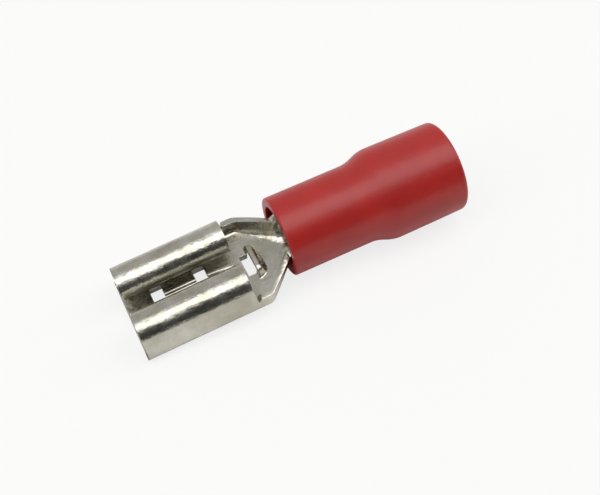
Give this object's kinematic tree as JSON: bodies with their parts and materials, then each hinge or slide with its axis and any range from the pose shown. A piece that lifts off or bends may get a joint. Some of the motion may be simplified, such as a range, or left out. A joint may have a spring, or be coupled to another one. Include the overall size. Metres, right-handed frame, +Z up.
{
  "type": "insulated female spade terminal",
  "caption": "Insulated female push-on spade terminal: one folded tin-plated brass strip in a red easy-entry sleeve.",
  "frame": {"origin": "ground level under the middle of the bounding box, with the terminal lying at rest", "axes": "+X from the mouth that takes the tab to the end that takes the wire, +Z up, the rolled sides' open gap facing up"},
  "size_m": [0.0191, 0.0058, 0.0053],
  "materials": {
    "tinned_brass": "satin",
    "red_pvc": "gloss"
  },
  "bodies": {
    "root": {"terminal": "tinned_brass", "insulating_sleeve": "red_pvc"}
  },
  "joints": []
}
